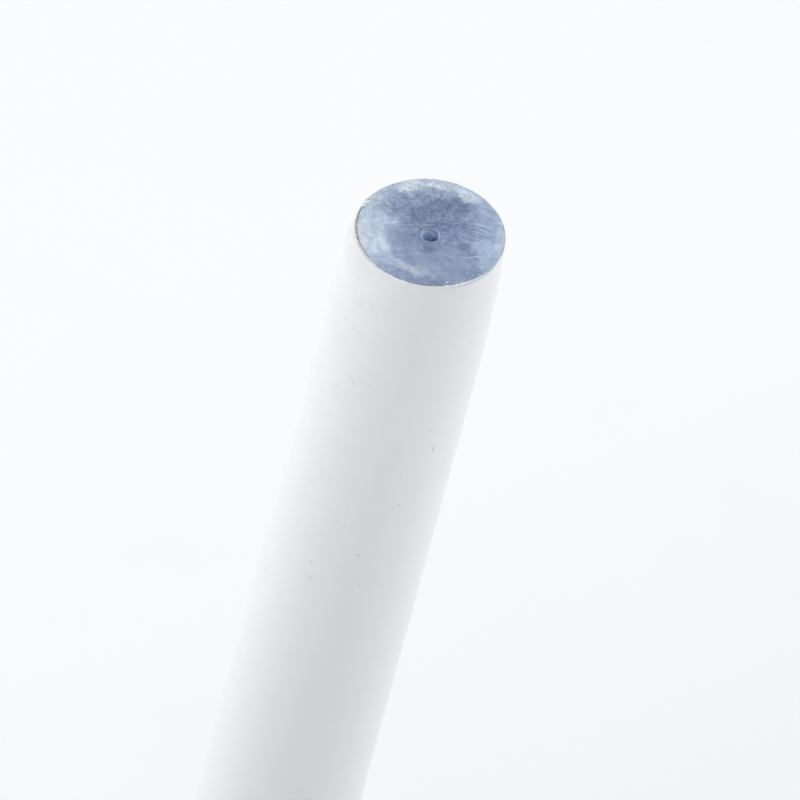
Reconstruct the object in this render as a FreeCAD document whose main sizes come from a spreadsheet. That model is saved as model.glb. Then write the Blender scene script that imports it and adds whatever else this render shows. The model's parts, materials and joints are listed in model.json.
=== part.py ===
import FreeCAD, Part
import math
import os

import Sketcher

# A single-ended paper blending stump. A sheet of blue-grey paper is wound tightly on a thin mandrel, its tail is
# pasted down, a white sheet is pasted round it, and both ends are then finished: one is cut flat, a little off
# square, and burnished hollow by use, and the other is sanded to a point.
#
# Millimetres. The stump's axis is Z, with the cut end up and the point down. The origin is on the axis, halfway
# along the straight part of the barrel, where the stump is held. The lap of the white sheet is on the +Y side.

document = FreeCAD.newDocument("blending_stump")

# ---------------------------------------------------------------------------------------------------------------
# Driving dimensions, in millimetres and degrees
# ---------------------------------------------------------------------------------------------------------------

SIZES = [
    ("overall_length", 150.0),          # from the tip to the middle of the cut end
    ("barrel_diameter", 10.3),          # over the white wrapper
    ("point_length", 24.0),             # sanded cone, with its rounded tip
    ("tip_radius", 0.8),
    ("shoulder_length", 10.0),          # the barrel draws in over this length at the cut end
    ("shoulder_drop", 0.385),           # how much smaller the radius is at the cut
    ("cut_angle", 5.0),                 # how far the cut is from square, its normal leaning towards -X
    ("dish_diameter", 7.4),             # hollow worn into the cut end, inside a flat rim
    ("dish_depth", 0.3),
    ("mandrel_hole_diameter", 1.0),
    ("starter_thickness", 0.22),        # the first turns, which hold the hole open
    ("hole_end_gap", 6.0),              # from the tip to the closed end of the hole
    ("roll_paper_thickness", 0.2),
    ("tail_paste_thickness", 0.05),
    ("tail_paste_width", 3.0),
    ("tail_azimuth", 215.0),            # where the tail's paste starts, round from +X
    ("wrapper_paste_thickness", 0.06),
    ("wrapper_thickness", 0.1),
    ("lap_width", 2.6),                 # how far the wrapper's outer edge lies over its inner edge
    ("lap_step_width", 0.3),            # where the wrapper climbs onto its own inner edge
    ("lap_paste_thickness", 0.03),
    ("lap_azimuth", 75.0),              # where the lap starts, round from +X
    ("trim_allowance", 1.5),            # extra length on the wound blank, cut or sanded away
    ("tool_reach", 2.0),                # how far the cutting shapes stand out past the barrel
]

sheet = document.addObject("Spreadsheet::Sheet", "sizes")
for row, (alias, size) in enumerate(SIZES, start=1):
    sheet.set(f"A{row}", alias)
    sheet.set(f"B{row}", str(size))
    sheet.setAlias(f"B{row}", alias)

# ---------------------------------------------------------------------------------------------------------------
# Radii, heights and angles that follow from them
# ---------------------------------------------------------------------------------------------------------------

LAYOUT = [
    ("barrel_radius", "sizes.barrel_diameter / 2"),
    ("paste_radius", "layout.barrel_radius - sizes.wrapper_thickness"),
    ("roll_radius", "layout.paste_radius - sizes.wrapper_paste_thickness"),
    ("tail_radius", "layout.roll_radius - sizes.roll_paper_thickness"),
    ("lap_radius", "layout.barrel_radius + sizes.lap_paste_thickness"),
    ("lap_top_radius", "layout.lap_radius + sizes.wrapper_thickness"),
    ("hole_radius", "sizes.mandrel_hole_diameter / 2"),
    ("starter_radius", "layout.hole_radius + sizes.starter_thickness"),
    ("clear_radius", "layout.lap_top_radius + sizes.tool_reach"),
    # Heights. The straight wall, the grip, has its middle at the origin.
    ("grip_length", "sizes.overall_length - sizes.point_length - sizes.shoulder_length"),
    ("shoulder_height", "layout.grip_length / 2"),
    ("end_height", "layout.shoulder_height + sizes.shoulder_length"),
    ("point_height", "-layout.grip_length / 2"),
    ("tip_height", "layout.point_height - sizes.point_length"),
    ("hole_end_height", "layout.tip_height + sizes.hole_end_gap"),
    ("blank_bottom", "layout.tip_height - sizes.trim_allowance"),
    ("sander_bottom", "layout.blank_bottom - sizes.tool_reach"),
    ("cutter_top", "2 * sizes.trim_allowance + sizes.tool_reach"),
    # The shoulder is an arc tangent to the straight wall. The layers under it are arcs round the same centre, and
    # all of them run on past the cut by the trim allowance.
    ("shoulder_arc", "(sizes.shoulder_length ^ 2 + sizes.shoulder_drop ^ 2) / (2 * sizes.shoulder_drop)"),
    ("arc_centre_radius", "layout.barrel_radius - layout.shoulder_arc"),
    ("arc_sine", "(sizes.shoulder_length + sizes.trim_allowance) / layout.shoulder_arc"),
    ("arc_cosine", "sqrt(1 - layout.arc_sine ^ 2)"),
    # The dish is part of a sphere.
    ("dish_radius", "sizes.dish_diameter / 2"),
    ("dish_arc", "(layout.dish_radius ^ 2 + sizes.dish_depth ^ 2) / (2 * sizes.dish_depth)"),
    # The sanded cone is tangent to the ball of the tip.
    ("ball_height", "layout.tip_height + sizes.tip_radius"),
    ("cone_rise", "layout.point_height - layout.ball_height"),
    ("cone_reach", "sqrt(layout.barrel_radius ^ 2 + layout.cone_rise ^ 2)"),
    ("cone_degrees", "acos(sizes.tip_radius / layout.cone_reach) / 1 deg"
                     " - atan(layout.cone_rise / layout.barrel_radius) / 1 deg"),
    ("tangent_radius", "sizes.tip_radius * cos(layout.cone_degrees * 1 deg)"),
    ("tangent_height", "layout.ball_height - sizes.tip_radius * sin(layout.cone_degrees * 1 deg)"),
    ("sander_height", "layout.point_height"
                      " + (layout.clear_radius - layout.barrel_radius) / tan(layout.cone_degrees * 1 deg)"),
    # Angles round the axis that the strips of paste and paper take up, in degrees.
    ("lap_span", "sizes.lap_width / layout.barrel_radius * 180 / pi"),
    ("lap_step_span", "sizes.lap_step_width / layout.barrel_radius * 180 / pi"),
    ("tail_span", "sizes.tail_paste_width / layout.roll_radius * 180 / pi"),
]

layout = document.addObject("App::VarSet", "layout")
for alias, formula in LAYOUT:
    layout.addProperty("App::PropertyFloat", alias)
    layout.setExpression(alias, formula)
document.recompute()

# ---------------------------------------------------------------------------------------------------------------
# Sketches
# ---------------------------------------------------------------------------------------------------------------

ORIGIN_POINT = -1
UPRIGHT_AXIS = -2
START, END = 1, 2
AXIS = "0"                              # a corner whose radius is this lies on the axis


def new_body(name):
    body = document.addObject("PartDesign::Body", name)
    body.Label = name
    body.Placement = FreeCAD.Placement()
    return body


def value(expression):
    """The number an expression on the sizes or the layout has now."""
    return float(layout.evalExpression(expression))


def side_sketch(body, name, azimuth="0", height="0", tilt="0"):
    """A sketch whose upright axis is the stump's, turned to an azimuth, or moved up it and tilted about Y."""
    sketch = body.newObject("Sketcher::SketchObject", name)
    plane = next(item for item in body.Origin.OriginFeatures if item.Role == "XZ_Plane")
    sketch.AttachmentSupport = [(plane, "")]
    sketch.MapMode = "FlatFace"
    turn_axis = FreeCAD.Vector(0, 1, 0) if tilt == "0" else FreeCAD.Vector(0, 0, 1)
    sketch.AttachmentOffset = FreeCAD.Placement(FreeCAD.Vector(), FreeCAD.Rotation(turn_axis, 1.0))
    sketch.setExpression("AttachmentOffset.Base.y", height)
    sketch.setExpression("AttachmentOffset.Rotation.Angle", azimuth if tilt == "0" else tilt)
    return sketch


def arc_between(start, end, radius, anticlockwise):
    """The shorter arc between two points, with its geometry always anticlockwise."""
    if not anticlockwise:
        start, end = end, start
    chord = end - start
    to_centre = math.sqrt(radius ** 2 - (chord.Length / 2) ** 2)
    left = FreeCAD.Vector(-chord.y, chord.x, 0).normalize()
    centre = start + chord * 0.5 + left * to_centre
    angles = [math.atan2(point.y - centre.y, point.x - centre.x) for point in (start, end)]
    circle = Part.Circle(centre, FreeCAD.Vector(0, 0, 1), radius)
    return Part.ArcOfCircle(circle, angles[0], angles[1])


def bind(sketch, constraint, expression):
    index = sketch.addConstraint(constraint)
    sketch.setExpression(f"Constraints[{index}]", expression)


def close_outline(sketch, corners, arcs=()):
    """Join the corners, each a pair of expressions (radius, height), into a closed outline.

    Edges are straight, apart from arcs: {number of the edge's first corner: (radius, anticlockwise)}.
    """
    arcs = dict(arcs)
    points = [FreeCAD.Vector(value(radius), value(height), 0) for radius, height in corners]
    ends = []
    for number, point in enumerate(points):
        following = points[(number + 1) % len(points)]
        if number in arcs:
            radius, anticlockwise = arcs[number]
            edge = sketch.addGeometry(arc_between(point, following, value(radius), anticlockwise))
            ends.append((edge, START, END) if anticlockwise else (edge, END, START))
            bind(sketch, Sketcher.Constraint("Radius", edge, value(radius)), radius)
        else:
            edge = sketch.addGeometry(Part.LineSegment(point, following))
            ends.append((edge, START, END))
    for number, (edge, first, _) in enumerate(ends):
        before, _, last = ends[number - 1]
        sketch.addConstraint(Sketcher.Constraint("Coincident", before, last, edge, first))
        radius, height = corners[number]
        if radius == AXIS:
            sketch.addConstraint(Sketcher.Constraint("PointOnObject", edge, first, UPRIGHT_AXIS))
        else:
            bind(sketch, Sketcher.Constraint("DistanceX", edge, first, points[number].x), radius)
        bind(sketch, Sketcher.Constraint("DistanceY", edge, first, points[number].y), height)


def turn(body, kind, sketch, span="360"):
    """Turn a sketch about its upright axis: kind is Revolution, which adds, or Groove, which cuts."""
    before = body.Shape.Volume if kind == "Groove" else 0.0
    feature = body.newObject(f"PartDesign::{kind}", f"{sketch.Name}_turned")
    feature.Profile = sketch
    feature.ReferenceAxis = (sketch, ["V_Axis"])
    feature.setExpression("Angle", span)
    document.recompute()
    if kind == "Groove" and not 0.0 < body.Shape.Volume < before:
        raise RuntimeError(f"{feature.Name} cuts nothing from {body.Name}")
    return feature


# ---------------------------------------------------------------------------------------------------------------
# Making a layer, and finishing both ends
# ---------------------------------------------------------------------------------------------------------------


def shoulder_end(radius):
    """Where a layer of this radius ends at the top of the blank, past the shoulder."""
    arc = f"({radius} - layout.arc_centre_radius)"
    return (f"layout.arc_centre_radius + {arc} * layout.arc_cosine",
            f"layout.shoulder_height + {arc} * layout.arc_sine")


def layer_outline(sketch, inner, outer):
    """Section of one wound layer, from the bottom of the blank up over the shoulder."""
    corners = [
        (inner, "layout.blank_bottom"),
        (outer, "layout.blank_bottom"),
        (outer, "layout.shoulder_height"),
        shoulder_end(outer),
        shoulder_end(inner),
        (inner, "layout.shoulder_height"),
    ]
    arcs = {
        2: (f"{outer} - layout.arc_centre_radius", True),
        4: (f"{inner} - layout.arc_centre_radius", False),
    }
    close_outline(sketch, corners, arcs)


def cut_end(body):
    """Cut the end a little off square, hollow inside a flat rim. Every piece meets the same cut."""
    sketch = side_sketch(body, f"{body.Name}_cut", height="layout.end_height", tilt="sizes.cut_angle")
    corners = [
        (AXIS, "-sizes.dish_depth"),
        ("layout.dish_radius", "0"),
        ("layout.clear_radius", "0"),
        ("layout.clear_radius", "layout.cutter_top"),
        (AXIS, "layout.cutter_top"),
    ]
    close_outline(sketch, corners, {0: ("layout.dish_arc", True)})
    turn(body, "Groove", sketch)


def sand_point(body):
    """Sand the cone and its rounded tip, through every layer alike."""
    sketch = side_sketch(body, f"{body.Name}_point")
    corners = [
        (AXIS, "layout.tip_height"),
        ("layout.tangent_radius", "layout.tangent_height"),
        ("layout.clear_radius", "layout.sander_height"),
        ("layout.clear_radius", "layout.sander_bottom"),
        (AXIS, "layout.sander_bottom"),
    ]
    close_outline(sketch, corners, {0: ("sizes.tip_radius", True)})
    turn(body, "Groove", sketch)


def finish_ends(body):
    cut_end(body)
    sand_point(body)
    return body


# ---------------------------------------------------------------------------------------------------------------
# The pieces, from the inside out
# ---------------------------------------------------------------------------------------------------------------


def make_starter_tube():
    """The first turns, rolled hard round the mandrel. They hold the hole open after it is drawn out."""
    body = new_body("starter_tube")
    sketch = side_sketch(body, "starter_section")
    blank_top = "layout.end_height + sizes.trim_allowance"
    corners = [
        ("layout.hole_radius", "layout.hole_end_height"),
        ("layout.starter_radius", "layout.hole_end_height"),
        ("layout.starter_radius", blank_top),
        ("layout.hole_radius", blank_top),
    ]
    close_outline(sketch, corners)
    turn(body, "Revolution", sketch)
    cut_end(body)
    return body


def make_paper_roll():
    """The wound sheet itself, which is the body of the stump and its working point."""
    body = new_body("paper_roll")
    sketch = side_sketch(body, "roll_section")
    top_radius, top_height = shoulder_end("layout.roll_radius")
    corners = [
        (AXIS, "layout.blank_bottom"),
        ("layout.roll_radius", "layout.blank_bottom"),
        ("layout.roll_radius", "layout.shoulder_height"),
        (top_radius, top_height),
        ("layout.starter_radius", top_height),
        ("layout.starter_radius", "layout.hole_end_height"),
        (AXIS, "layout.hole_end_height"),
    ]
    close_outline(sketch, corners, {2: ("layout.roll_radius - layout.arc_centre_radius", True)})
    turn(body, "Revolution", sketch)
    tail_slot = side_sketch(body, "tail_slot", azimuth="sizes.tail_azimuth")
    tail_outline(tail_slot)
    turn(body, "Groove", tail_slot, span="layout.tail_span")
    return finish_ends(body)


def tail_outline(sketch):
    layer_outline(sketch, "(layout.tail_radius - sizes.tail_paste_thickness)", "layout.tail_radius")


def make_tail_paste():
    """The line of paste that holds the sheet's tail, under its last turn."""
    body = new_body("tail_paste")
    sketch = side_sketch(body, "tail_section", azimuth="sizes.tail_azimuth")
    tail_outline(sketch)
    turn(body, "Revolution", sketch, span="layout.tail_span")
    return finish_ends(body)


def make_wrapper_paste():
    """The film of paste between the roll and the white sheet. It shows as a thin brown line at the cut."""
    body = new_body("wrapper_paste")
    sketch = side_sketch(body, "paste_section")
    layer_outline(sketch, "layout.roll_radius", "layout.paste_radius")
    turn(body, "Revolution", sketch)
    return finish_ends(body)


def make_wrapper():
    """The white sheet: once round, then up a step and over its own inner edge."""
    body = new_body("wrapper")
    once_round = side_sketch(body, "wrapper_section")
    layer_outline(once_round, "layout.paste_radius", "layout.barrel_radius")
    turn(body, "Revolution", once_round)
    step = side_sketch(body, "lap_step", azimuth="sizes.lap_azimuth + layout.lap_span")
    layer_outline(step, "(layout.barrel_radius - sizes.wrapper_thickness / 2)", "layout.lap_top_radius")
    turn(body, "Revolution", step, span="layout.lap_step_span")
    lap = side_sketch(body, "lap_over", azimuth="sizes.lap_azimuth")
    layer_outline(lap, "layout.lap_radius", "layout.lap_top_radius")
    turn(body, "Revolution", lap, span="layout.lap_span")
    return finish_ends(body)


def make_lap_paste():
    """The strip of paste under the wrapper's outer edge."""
    body = new_body("lap_paste")
    sketch = side_sketch(body, "lap_paste_section", azimuth="sizes.lap_azimuth")
    layer_outline(sketch, "layout.barrel_radius", "layout.lap_radius")
    turn(body, "Revolution", sketch, span="layout.lap_span")
    return finish_ends(body)


pieces = [
    make_starter_tube(),
    make_paper_roll(),
    make_tail_paste(),
    make_wrapper_paste(),
    make_wrapper(),
    make_lap_paste(),
]

# ---------------------------------------------------------------------------------------------------------------
# Check every feature and every piece, then write one STEP file for each piece
# ---------------------------------------------------------------------------------------------------------------

document.recompute()

for item in document.Objects:
    if "Invalid" in item.State or "Error" in item.State:
        raise RuntimeError(f"{item.Name} failed: {item.State}")

for piece in pieces:
    if piece.Shape.isNull() or not piece.Shape.isValid() or len(piece.Shape.Solids) != 1:
        raise RuntimeError(f"{piece.Label} is not one valid solid")

os.makedirs("parts", exist_ok=True)
for piece in pieces:
    piece.Shape.exportStep(f"parts/{piece.Label}.step")
    print(f"{piece.Label:14} {piece.Shape.Volume:10.3f} mm3  {piece.Shape.BoundBox}")
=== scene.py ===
import json
import math
import random

import bpy
from mathutils import Matrix, Vector, noise


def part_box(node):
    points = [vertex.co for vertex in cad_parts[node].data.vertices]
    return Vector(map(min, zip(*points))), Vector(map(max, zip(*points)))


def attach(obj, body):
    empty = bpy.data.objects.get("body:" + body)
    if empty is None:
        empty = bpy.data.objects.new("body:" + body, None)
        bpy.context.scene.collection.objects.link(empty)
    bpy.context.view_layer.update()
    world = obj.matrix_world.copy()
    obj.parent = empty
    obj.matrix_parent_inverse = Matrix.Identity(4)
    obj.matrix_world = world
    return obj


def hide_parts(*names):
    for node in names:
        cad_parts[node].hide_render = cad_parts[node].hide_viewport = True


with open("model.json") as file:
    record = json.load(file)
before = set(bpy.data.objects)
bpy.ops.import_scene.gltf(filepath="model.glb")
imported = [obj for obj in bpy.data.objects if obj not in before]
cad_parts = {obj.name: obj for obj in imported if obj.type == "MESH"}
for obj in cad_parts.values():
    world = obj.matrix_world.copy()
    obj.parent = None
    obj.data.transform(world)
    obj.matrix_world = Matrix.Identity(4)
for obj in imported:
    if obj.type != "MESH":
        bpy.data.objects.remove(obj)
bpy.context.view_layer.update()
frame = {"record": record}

# The looks of a paper blending stump, in metres, in the CAD frame: axis along Z, cut end up, origin in the
# middle of the straight barrel. Six pieces replace a CAD node each, with the same layers at the same radii,
# and add what paper does: a worn and smeared cut, ragged edges, sanded layers. Three are fibres and specks.

MM = 0.001

# ---- Places and sizes, from the frame ----

mounts = {mount["name"]: mount for mount in frame["record"]["mounts"]}

BARREL_RADIUS = mounts["barrel_grip"]["dims"]["r_mm"] * MM
SHOULDER_Z = mounts["barrel_grip"]["dims"]["length_mm"] * MM / 2
POINT_Z = -SHOULDER_Z
HOLE_RADIUS = mounts["mandrel_hole"]["dims"]["r_mm"] * MM
CUT_NORMAL = Vector(mounts["cut_end_rim"]["axis"]).normalized()
rim_place = Vector(mounts["cut_end_rim"]["pos_m"])
END_Z = rim_place.dot(CUT_NORMAL) / CUT_NORMAL.z
CUT_TILT = math.atan2(-CUT_NORMAL.x, CUT_NORMAL.z)
TIP_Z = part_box("paper_roll")[0].z
HOLE_END_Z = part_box("starter_tube")[0].z

# Layers of the stump, as in CAD.
SHEET = 0.10 * MM
PASTE = 0.06 * MM
LAP_PASTE = 0.03 * MM
PASTE_RADIUS = BARREL_RADIUS - SHEET
ROLL_RADIUS = PASTE_RADIUS - PASTE
STARTER_RADIUS = HOLE_RADIUS + 0.22 * MM
TURN = 0.20 * MM                        # thickness of one turn of the wound sheet
SHOULDER_DROP = 0.385 * MM
TIP_RADIUS = 0.8 * MM
DISH_RADIUS = 3.7 * MM
DISH_DEPTH = 0.3 * MM
LAP_START = math.radians(75.0)
LAP_SPAN = 2.6 * MM / BARREL_RADIUS
LAP_STEP = 0.3 * MM / BARREL_RADIUS
TAIL_START = math.radians(215.0)
TAIL_SPAN = 3.0 * MM / ROLL_RADIUS

FACE_RADIUS = BARREL_RADIUS - SHOULDER_DROP
END_CENTRE = Vector((0, 0, END_Z))
SHOULDER_LENGTH = END_Z - SHOULDER_Z
SHOULDER_ARC = (SHOULDER_LENGTH ** 2 + SHOULDER_DROP ** 2) / (2 * SHOULDER_DROP)
ARC_CENTRE = BARREL_RADIUS - SHOULDER_ARC

# The cone is tangent to the ball of the tip.
BALL_Z = TIP_Z + TIP_RADIUS
CONE_RISE = POINT_Z - BALL_Z
CONE_ANGLE = math.acos(TIP_RADIUS / math.hypot(BARREL_RADIUS, CONE_RISE))
CONE_ANGLE -= math.atan2(CONE_RISE, BARREL_RADIUS)
TANGENT_Z = BALL_Z - TIP_RADIUS * math.sin(CONE_ANGLE)

# Marks on the cut end are placed by how far across and up it they are, with the rim at 1. Its "across" is
# turned this much from +X.
MARK_SPIN = math.radians(5.2)

FULL_TURN = 2 * math.pi
FLAT = (1, 1, 1e6)                      # as the size of a shader's place, it leaves out how high a point is

# How finely surfaces are divided, and how many loose bits there are.
ROLL_SPOKES, FACE_RINGS, CONE_RINGS = 520, 68, 170
TUBE_SPOKES, PASTE_SPOKES, SHEET_SPOKES, STRIP_SPOKES = 160, 900, 700, 12
LAP_BEADS, BARREL_SPECKS, POINT_FIBRES, RIM_FIBRES = 26, 440, 420, 70
UP = Vector((0, 0, 1))

# ---- Shape helpers ----


def smooth(low, high, number):
    """0 below low, 1 above high, and a smooth step between."""
    share = min(max((number - low) / (high - low), 0.0), 1.0)
    return share * share * (3 - 2 * share)


def waves(place, size, seed):
    """Smooth noise from -1 to 1 with features of that size."""
    return noise.noise(place / size + Vector((seed * 17.3, seed * 5.1, seed * 9.7)))


def span(low, high, count):
    """count + 1 evenly spaced numbers from low to high."""
    return [low + (high - low) * number / count for number in range(count + 1)]


def layer_radius(radius, z):
    """Radius of a wound layer at a height: straight, then drawn in over the shoulder."""
    if z <= SHOULDER_Z:
        return radius
    arc = radius - ARC_CENTRE
    return ARC_CENTRE + math.sqrt(arc * arc - (z - SHOULDER_Z) ** 2)


def cone_radius(z):
    """Radius of the sanded cone and its ball tip."""
    if z < TANGENT_Z:
        return math.sqrt(max(TIP_RADIUS ** 2 - (BALL_Z - z) ** 2, 0.0))
    return BARREL_RADIUS + (z - POINT_Z) * math.tan(CONE_ANGLE)


def cone_height(radius):
    """Height at which the cone cuts through a layer."""
    return POINT_Z + (radius - BARREL_RADIUS) / math.tan(CONE_ANGLE)


def cut_height(x):
    return END_Z + x * math.tan(CUT_TILT)


def at(azimuth, radius, z):
    return Vector((radius * math.cos(azimuth), radius * math.sin(azimuth), z))


def round_from(azimuth):
    """Unit vector round the stump, anticlockwise, at an azimuth."""
    return Vector((-math.sin(azimuth), math.cos(azimuth), 0))


def rim_waves(azimuth, size, seed):
    """Waves along the rim, with features of that many millimetres."""
    return waves(at(azimuth, 5 * MM, 0), size * MM, seed)


def cut_edge(azimuth, layer):
    """Radius at which a layer meets the plane of the cut."""
    radius = layer
    for _ in range(4):
        radius = layer_radius(layer, cut_height(radius * math.cos(azimuth)))
    return radius


def mark_angle(azimuth):
    """Direction round the cut end, from the marks' "across", in degrees from -180 to 180."""
    return math.degrees((azimuth - MARK_SPIN + math.pi) % FULL_TURN - math.pi)


def near(angle, centre, width):
    """1 at a direction round the cut end and 0 beyond width degrees from it."""
    away = abs((angle - centre + 180) % 360 - 180)
    return 1 - smooth(0, width, away)


def rows_to_faces(rows, first, loop):
    """Quads between rows of the same length, each row closed on itself."""
    count, width = len(rows), len(rows[0])
    faces = []
    for row in range(count if loop else count - 1):
        here, there = first + row * width, first + (row + 1) % count * width
        for column in range(width):
            after = (column + 1) % width
            faces.append((here + column, here + after, there + after, there + column))
    if not loop:
        faces.append(tuple(first + column for column in reversed(range(width))))
        faces.append(tuple(first + (count - 1) * width + column for column in range(width)))
    return faces


def make_piece(name, skins, material, slot, *nodes):
    """One object from skins, each a pair (rows of points, whether the last row joins the first)."""
    points, faces = [], []
    for rows, loop in skins:
        faces += rows_to_faces(rows, len(points), loop)
        points += [point for row in rows for point in row]
    mesh = bpy.data.meshes.new(name)
    mesh.from_pydata(points, [], faces)
    mesh.polygons.foreach_set("use_smooth", [True] * len(mesh.polygons))
    mesh.materials.append(material)
    mesh.update()
    piece = bpy.data.objects.new(name, mesh)
    bpy.context.scene.collection.objects.link(piece)
    make_outward(mesh)
    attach(piece, "root")
    if nodes:
        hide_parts(*nodes)
    return piece


def make_outward(mesh):
    """Turn the mesh the right way out, by the sign of its volume."""
    volume = 0.0
    mesh.calc_loop_triangles()
    for triangle in mesh.loop_triangles:
        corners = [mesh.vertices[index].co for index in triangle.vertices]
        volume += corners[0].dot(corners[1].cross(corners[2]))
    if volume < 0:
        mesh.flip_normals()


# ---- Shape of the cut end ----

RIM_ROUNDING = 0.22 * MM                # the burnished edge of the roll rolls over this far in


def marks_place(point):
    """A point of the cut end as the marks see it: across, up, and the distance from the centre, rim at 1."""
    x, y = point.x / FACE_RADIUS, point.y / FACE_RADIUS
    across = x * math.cos(MARK_SPIN) + y * math.sin(MARK_SPIN)
    up = y * math.cos(MARK_SPIN) - x * math.sin(MARK_SPIN)
    return across, up, math.hypot(across, up)


def face_relief(point, to_rim):
    """Height of the cut end over the plane of the cut: hollow, ridges of turns, knife marks and waviness."""
    distance = math.hypot(point.x, point.y)
    hollow = -DISH_DEPTH * max(0.0, 1 - (distance / DISH_RADIUS) ** 2)
    rounding = -0.05 * MM * smooth(0, 1, 1 - to_rim / RIM_ROUNDING) if to_rim < RIM_ROUNDING else 0.0
    across, up, _ = marks_place(point)
    turns = distance / TURN - math.atan2(point.y, point.x) / FULL_TURN
    patchy = 0.5 + 0.5 * waves(point, 1.1 * MM, 3)
    ridges = 0.004 * MM * math.sin(turns * FULL_TURN) * patchy
    knife = math.hypot(across - 0.15, up + 1.25)
    cuts = 0.006 * MM * waves(Vector((knife * 26, across * 1.3, 0)), 1.0, 5)
    wavy = 0.030 * MM * waves(point, 1.6 * MM, 1) + 0.012 * MM * waves(point, 0.45 * MM, 2)
    return hollow + rounding + ridges + cuts + wavy


def let_go(azimuth):
    """1 where the wrapper has let go of the roll at the cut and the paste shows: along the left rim."""
    angle = mark_angle(azimuth)
    return max(near(angle, -157, 58) ** 0.4, 0.35 * near(angle, 135, 36) ** 0.5)


def roll_edge(azimuth):
    """Radius of the roll's edge at the cut: burnished out over the paste, unless the wrapper has let go."""
    wander = 0.018 * MM * waves(at(azimuth, 4 * MM, 0), 0.9 * MM, 7)
    spread = (PASTE + 0.02 * MM) * (1 - let_go(azimuth))
    return cut_edge(azimuth, ROLL_RADIUS) + (wander - 0.01 * MM) * let_go(azimuth) + spread


def face_point(azimuth, share):
    """Point of the cut end, from the starter tube at share 0 to the roll's edge at 1."""
    edge = roll_edge(azimuth)
    radius = STARTER_RADIUS + (edge - STARTER_RADIUS) * share
    flat = at(azimuth, radius, 0)
    flat.z = cut_height(flat.x)
    return flat + CUT_NORMAL * face_relief(flat, edge - radius)


# ---- The paper roll: cut end, wound wall and sanded point ----


def cone_point(azimuth, z):
    """Point of the sanded cone. Each turn of the sheet ends in a low, worn step, and sanding left flats."""
    radius = cone_radius(z)
    place = at(azimuth, radius, z)
    turns = radius / TURN - azimuth / FULL_TURN + 0.35 * waves(place, 2.5 * MM, 11)
    step = turns - math.floor(turns)
    worn = smooth(TIP_Z, TIP_Z + 3 * MM, z)
    ledge = 0.018 * MM * (smooth(0.0, 0.75, step) - smooth(0.88, 1.0, step) - 0.4) * worn
    flats = 0.045 * MM * waves(Vector((place.x, place.y, z * 0.3)), 3.2 * MM, 12) * worn
    felt = 0.012 * MM * waves(place, 0.35 * MM, 13)
    fade = smooth(0, 0.5 * MM, ROLL_RADIUS - radius)
    return at(azimuth, max(radius + (ledge + flats + felt) * fade, 0.02 * MM), z)


def make_roll(material):
    azimuths = span(0, FULL_TURN, ROLL_SPOKES)[:-1]
    cone_top = cone_height(ROLL_RADIUS) - 0.02 * MM
    rows = [[at(azimuth, STARTER_RADIUS, HOLE_END_Z) for azimuth in azimuths]]
    for share in span(0, 1, FACE_RINGS):
        rows.append([face_point(azimuth, share) for azimuth in azimuths])
    for z_share in (0.004, 0.02, 0.05, 0.1, 0.4, 0.7, 1.0):
        row = []
        for azimuth in azimuths:
            edge = cut_edge(azimuth, ROLL_RADIUS)
            z = cut_height(edge * math.cos(azimuth)) - 0.09 * MM
            z += (cone_top - z) * z_share
            row.append(at(azimuth, layer_radius(ROLL_RADIUS, z) - 0.01 * MM, z))
        rows.append(row)
    for z in span(cone_top, TIP_Z + 0.35 * MM, CONE_RINGS)[1:]:
        rows.append([cone_point(azimuth, z) for azimuth in azimuths])
    for z in (0.2, 0.1, 0.04, 0.01):
        rows.append([cone_point(azimuth, TIP_Z + z * MM) for azimuth in azimuths])
    return make_piece("roll_of_turns", [(rows, False)], material, "roll_paper", "paper_roll")


# ---- The starter tube: the first turns, with a worn lip ----


def make_starter(material):
    azimuths = span(0, FULL_TURN, TUBE_SPOKES)[:-1]
    wall = STARTER_RADIUS - HOLE_RADIUS
    # Over the lip from outside: how far out through the wall, and millimetres over the cut.
    lip = [(1.02, -0.30), (1.02, -0.012), (0.93, 0.0), (0.78, 0.012), (0.62, 0.028), (0.50, 0.025),
           (0.38, 0.0), (0.26, -0.06), (0.16, -0.14), (0.08, -0.26), (0.0, -0.45), (0.0, -0.8),
           (0.0, -1.5), (0.0, -6.0)]
    rows = [[at(azimuth, STARTER_RADIUS, HOLE_END_Z) for azimuth in azimuths]]
    for out, up in lip:
        row = []
        for azimuth in azimuths:
            ragged = 1 + 0.10 * waves(at(azimuth, 1 * MM, up * MM), 0.35 * MM, 21)
            radius = HOLE_RADIUS + wall * out
            if out == 0.0:
                radius += 0.02 * MM * waves(at(azimuth, 1 * MM, up * MM), 0.5 * MM, 22)
            flat = at(azimuth, radius, 0)
            flat.z = cut_height(flat.x)
            height = face_relief(at(azimuth, STARTER_RADIUS, 0), 1.0) + up * MM * ragged
            row.append(flat + CUT_NORMAL * height)
        rows.append(row)
    rows.append([at(azimuth, HOLE_RADIUS, HOLE_END_Z) for azimuth in azimuths])
    return make_piece("hole_lining", [(rows, True)], material, "starter_paper", "starter_tube")


# ---- The white wrapper: one sheet, once round and over its own edge ----


def stand_off(azimuth):
    """How far the wrapper's edge stands away from the roll at the cut, in places where it has let go."""
    angle = mark_angle(azimuth)
    left = 0.055 * near(angle, -166, 56)
    low = 0.040 * near(angle, -48, 30)
    return (left + low) * MM


def bulge(azimuth, below):
    """The loose left side of the wrapper stands out a little, over the last centimetre below its edge."""
    loose = near(mark_angle(azimuth), 178, 64)
    return 0.22 * MM * loose * smooth(0, 1.5 * MM, below) * (1 - smooth(4 * MM, 12 * MM, below))


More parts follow.
